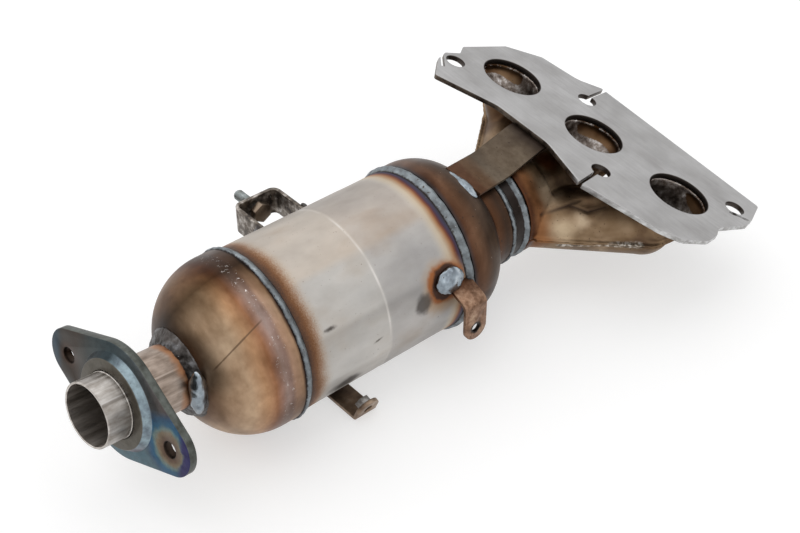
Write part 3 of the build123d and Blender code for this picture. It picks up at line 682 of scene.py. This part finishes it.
ring = band(tree, fade(tree, far, 0.005, 0.027), (0.0, (84, 66, 56)), (0.14, (102, 84, 70)),
            (0.28, (120, 108, 90)), (0.4, (104, 122, 120)), (0.52, (58, 94, 118)),
            (0.7, (62, 88, 114)), (1.0, (84, 96, 106)))
corner_end = sums(tree, "MULTIPLY", rise(tree, across, 0.056, 0.062),
                  rise(tree, far, 0.0115, 0.0135))
ring = over(tree, corner_end, ring, (58, 56, 92))
color = over(tree, rise(tree, far, 0.027, 0.019), color, ring)
color = smudge(tree, color, (76, 60, 52), upper_hole, 0.012, share=0.8)
# Painted shade and highlight on the coned seat: dark on one side, bright on the other, and greyer
# lower down.
cone = over(tree, rise(tree, across, -0.008, 0.012), (44, 54, 58), (152, 170, 178))
cone = over(tree, rise(tree, below, -0.012, -0.026), cone, (132, 128, 136))
cone = mottled(tree, cone, 0.01, (200, 198, 204), detail=4)
color = over(tree, rise(tree, lift, 0.0002, 0.0005), color, cone)
color = over(tree, rise(tree, lift, 0.0048, 0.0053), color, (96, 92, 84))
edge = band(tree, cloudy(tree, 0.01, 4), (0.35, (76, 78, 74)), (0.65, (100, 104, 100)))
edge = specks(tree, edge, (184, 186, 184), 0.0016, 0.74)
color = over(tree, rise(tree, lift, -0.0003, -0.0007), color, edge)
for hole in (lower_hole, upper_hole):
    color = over(tree, rise(tree, gap_to(tree, hole, (1, 1, 100), pipe_turn), 0.0061, 0.0057),
                 color, (60, 50, 44))
color = mottled(tree, color, 0.005, (214, 212, 210), detail=6, rough=0.65)
put(specks(tree, color, (58, 52, 50), 0.0013, 0.7), shader.inputs["Base Color"])
put(fade(tree, cloudy(tree, 0.01, 5), -0.8, 2.2), shader.inputs["Roughness"])
relief(tree, shader, cloudy(tree, 0.003, 4), 0.15, 0.0003)
piece("outlet_plate", eased("outlet_flange", 0.0005), tempered, ["outlet_flange"])


# Hand-run welds: fat lumps and fillets at the pipe, the flanges, the stay and the brackets, with
# a skin of grey slag that shines where the metal froze smooth.
def lumpy(form, depth, size):
    """Sinks a weld's surface unevenly, up to twice the depth, in lumps of about the size."""
    form.normal_update()
    for corner in form.verts:
        lump = noise.noise(corner.co / size) + 0.5 * noise.noise(corner.co * 2.7 / size)
        corner.co -= corner.normal * depth * (1 - lump)
    return form


def blob(middle, radii, turn=Matrix()):
    """A stretched round lump."""
    form = bmesh.new()
    place = Matrix.Translation(middle) @ turn @ Matrix.Diagonal((*radii, 1))
    bmesh.ops.create_uvsphere(form, u_segments=64, v_segments=40, radius=1, matrix=place)
    return form


slag, tree, shader = finish("weld_slag", (104, 108, 112), 0.28, 1.0)
metal = band(tree, cloudy(tree, 0.008, 3), (0.3, (104, 110, 118)), (0.5, (142, 152, 160)),
             (0.7, (184, 192, 198)))
metal = specks(tree, metal, (214, 218, 220), 0.0018, 0.72)
put(specks(tree, metal, (56, 50, 46), 0.0022, 0.68), shader.inputs["Base Color"])
relief(tree, shader, cloudy(tree, 0.003, 3), 0.3, 0.0006)
scale, tree, shader = finish("weld_scale", (84, 84, 86), 0.42, 1.0)
metal = band(tree, cloudy(tree, 0.006, 5), (0.3, (56, 52, 50)), (0.5, (80, 76, 74)),
             (0.7, (112, 112, 114)))
put(specks(tree, metal, (190, 194, 196), 0.0016, 0.72), shader.inputs["Base Color"])
relief(tree, shader, cloudy(tree, 0.0022, 4), 0.5, 0.0006)
fillet = [(0.0635, 0.0215), (0.0620, 0.0245), (0.0597, 0.0276), (0.0570, 0.0300), (0.0538, 0.0322),
          (0.0515, 0.0322)]
form = turned(fillet + [(0.0515, 0.0215)], steps=300)
bmesh.ops.subdivide_edges(form, edges=[e for e in form.edges if e.calc_length() > 0.0012], cuts=2,
                          use_grid_fill=True)
bmesh.ops.transform(form, matrix=toward_outlet, verts=form.verts)
piece("pipe_bead", lumpy(lumpy(form, 0.0005, 0.006), 0.0004, 0.0022), scale,
      ["outlet_pipe_weld"], crease=80)
form = lumpy(blob((0.0112, -0.3645, -0.0300), (0.0068, 0.0062, 0.0195),
                  Matrix.Rotation(radians(6), 4, "Y")), 0.0006, 0.006)
piece("pipe_bead_stop", form, slag, ["outlet_pipe_weld"], crease=80)
form = blob(front_blob, (0.0050, 0.0125, 0.0098), Matrix.Rotation(radians(-16), 4, "Y"))
piece("front_bracket_bead", lumpy(form, 0.0009, 0.008), slag, ["front_bracket_weld"],
      crease=80)
form = blob(head_place @ Vector((-0.0275, -0.1345, -0.0205)), (0.0155, 0.0062, 0.0042), head_place)
piece("stay_bead", lumpy(form, 0.0005, 0.007), slag, ["stay_weld"], crease=80)
for name in ("port_weld_1", "port_weld_2", "port_weld_3", "stay_flange_weld", "outlet_flange_weld",
             "lower_bracket_weld", "rear_bracket_weld"):
    dress(name, scale)


# Stay: a 2.5 mm steel strip, gently arched from the inlet end to the underside of the head
# flange. Both its ends are welded; its low end is tinted by that heat, and the strip darkens
# towards the head flange.
strip, tree, shader = finish("stay_strip", (124, 108, 92), 0.42, 1.0)
color = band(tree, cloudy(tree, 0.03, 4, twist=0.4), (0.32, (84, 73, 62)), (0.5, (98, 86, 73)),
             (0.7, (112, 100, 86)))
y = sums(tree, "ADD", along(tree), waver(tree, 0.012, 0.003))
color = over(tree, rise(tree, y, -0.106, -0.118), color, (98, 76, 58))
color = over(tree, rise(tree, y, -0.120, -0.127), color, (88, 62, 46))
# Darker towards the head flange.
color = over(tree, rise(tree, y, -0.075, -0.055), color, (58, 48, 42))
color = mottled(tree, color, 0.005, (222, 218, 214), detail=5)
put(specks(tree, color, (60, 50, 44), 0.0016, 0.68), shader.inputs["Base Color"])
put(fade(tree, cloudy(tree, 0.01, 4), -0.8, 2.0), shader.inputs["Roughness"])
piece("stay_strip", eased("stay", 0.0003), strip, ["stay"])


# Brackets: short bent straps welded to the shell to hold heat shields and a hanger. The front
# and lower ones are browned by heat, the rear U is black, and its bolt is zinc plated.
coppery, tree, shader = finish("browned_strap", (142, 112, 92), 0.4, 1.0)
color = band(tree, cloudy(tree, 0.012, 5), (0.32, (104, 80, 64)), (0.5, (142, 112, 92)),
             (0.7, (172, 146, 124)))
from_can = sums(tree, "ADD", gap_to(tree, (can_side, 0, can_drop), (1, 1000, 1)),
                waver(tree, 0.006, 0.0015))
color = over(tree, rise(tree, from_can, 0.072, 0.061), color, (84, 56, 40))
color = smudge(tree, color, (48, 42, 38), (0.0595, -0.175, -0.0509), 0.006, soft=0.7)
color = mottled(tree, color, 0.003, (214, 208, 204), detail=5)
put(specks(tree, color, (60, 48, 42), 0.0014, 0.68), shader.inputs["Base Color"])
piece("front_strap", eased("front_bracket", 0.0003), coppery, ["front_bracket"])

browned, tree, shader = finish("sooty_strap", (104, 86, 72), 0.44, 1.0)
color = band(tree, cloudy(tree, 0.01, 5), (0.32, (112, 94, 80)), (0.5, (142, 122, 104)),
             (0.7, (172, 154, 138)))
outward = sums(tree, "ADD", along(tree, "X"), waver(tree, 0.008, 0.003))
color = over(tree, rise(tree, outward, 0.026, 0.008), color, (84, 70, 62))
put(specks(tree, color, (180, 168, 156), 0.0014, 0.72), shader.inputs["Base Color"])
piece("lower_strap", eased("lower_bracket", 0.0003), browned, ["lower_bracket"])

blackened, tree, shader = finish("blackened_strap", (52, 48, 46), 0.42, 1.0)
color = band(tree, cloudy(tree, 0.006, 5), (0.32, (58, 52, 48)), (0.52, (110, 102, 94)),
             (0.66, (176, 170, 164)))
put(specks(tree, color, (196, 196, 196), 0.0018, 0.7), shader.inputs["Base Color"])
relief(tree, shader, cloudy(tree, 0.003, 4), 0.3, 0.0005)
piece("rear_strap", eased("rear_bracket", 0.0003), blackened, ["rear_bracket"])

zinc, tree, shader = finish("zinc_plate", (140, 148, 148), 0.36, 1.0)
place = along(tree, "X")
color = band(tree, cloudy(tree, 0.004, 5), (0.3, (118, 118, 112)), (0.5, (142, 148, 148)),
             (0.7, (170, 176, 176)))
color = over(tree, rise(tree, place, -0.0915, -0.0885), color, (122, 108, 94))
put(specks(tree, color, (72, 74, 72), 0.0012, 0.68), shader.inputs["Base Color"])
thread_start, thread_end, pitch = -0.0952, -0.1137, 0.00125
crest, root, core, core_share = 0.0039, 0.0033, 0.0029, 0.8
stud_axis = Vector((0, -0.24325, -0.0034))
form = eased("rear_bolt", 0.0003)
for corner in form.verts:
    if corner.co.x < thread_start - 0.0001:
        corner.co.yz = stud_axis.yz + core_share * (corner.co.yz - stud_axis.yz)
piece("rear_stud", form, zinc, ["rear_bolt"])
ridges = [(0.0004, core), (0.0004, 0.0035)]
for turn in range(14):
    ridges += [((turn + 0.8) * pitch, crest), ((turn + 1.3) * pitch, root)]
thread_length = thread_start - thread_end - 0.0001
form = turned(ridges + [(thread_length, root), (thread_length, core)], 48)
bmesh.ops.transform(form, verts=form.verts, matrix=Matrix.Translation(stud_axis + Vector(
    (thread_start, 0, 0))) @ Matrix.Rotation(-pi / 2, 4, "Y"))
piece("rear_thread", form, zinc, ["rear_bolt"])
grey, tree, shader = finish("weld_nut_steel", (130, 126, 122), 0.42, 1.0)
put(specks(tree, band(tree, cloudy(tree, 0.003, 5), (0.3, (96, 90, 84)), (0.7, (158, 156, 154))),
           (206, 206, 204), 0.0014, 0.68), shader.inputs["Base Color"])
piece("shield_nut", eased("lower_bracket_nut", 0.0003), grey, ["lower_bracket_nut"])


# Studio: a white table, a large soft lamp above and a weaker one at each side.
def lamp(name, size, power, spot, target):
    light = bpy.data.lights.new(name, "AREA")
    light.shape = "RECTANGLE"
    light.size, light.size_y = size
    light.energy = power
    holder = bpy.data.objects.new(name, light)
    bpy.context.scene.collection.objects.link(holder)
    holder.location = spot
    holder.rotation_euler = (Vector(target) - Vector(spot)).to_track_quat("-Z", "Y").to_euler()


table_height = -0.0967
form = bmesh.new()
bmesh.ops.create_grid(form, x_segments=1, y_segments=1, size=6,
                      matrix=Matrix.Translation((0, 0, table_height)))
surface = bpy.data.meshes.new("table")
form.to_mesh(surface)
form.free()
table = bpy.data.objects.new("table", surface)
bpy.context.scene.collection.objects.link(table)
white, tree, shader = finish("white_table", (200, 200, 200), 0.95)
surface.materials.append(white)


def seen_rays(tree):
    """1 for rays that the camera sees straight or in metal, 0 for plain bounces of light."""
    rays = tree.nodes.new("ShaderNodeLightPath")
    mirrored = sums(tree, "MAXIMUM", rays.outputs["Is Glossy Ray"],
                    rays.outputs["Is Transmission Ray"])
    return sums(tree, "MAXIMUM", rays.outputs["Is Camera Ray"], mirrored)


shader.inputs["Emission Color"].default_value = (1, 1, 1, 1)
put(sums(tree, "MULTIPLY", seen_rays(tree), 0.5), shader.inputs["Emission Strength"])

middle = (-0.015, -0.2, -0.03)
lamp("top_softbox", (2.0, 2.0), 9, (-0.4, -0.2, 1.5), middle)
lamp("left_softbox", (1.0, 1.2), 3, (-1.3, -0.9, 0.8), middle)
lamp("right_softbox", (1.0, 1.2), 2.5, (1.3, 0.1, 0.9), middle)

world = bpy.data.worlds.new("studio")
bpy.context.scene.world = world
world.use_nodes = True
tree = world.node_tree
background = tree.nodes["Background"]
background.inputs["Color"].default_value = (1, 1, 1, 1)
put(sums(tree, "ADD", 0.65, sums(tree, "MULTIPLY", seen_rays(tree), 0.35)),
    background.inputs["Strength"])

camera = bpy.data.objects.new("camera", bpy.data.cameras.new("camera"))
bpy.context.scene.collection.objects.link(camera)
bpy.context.scene.camera = camera
camera.data.lens = 62.35
camera.data.clip_start = 0.01
camera.location = (0.5640, -0.6738, 0.5667)
camera.rotation_euler = Vector((-0.5928, 0.5085, -0.6245)).to_track_quat("-Z", "Y").to_euler()
bpy.context.scene.view_settings.view_transform = "Standard"
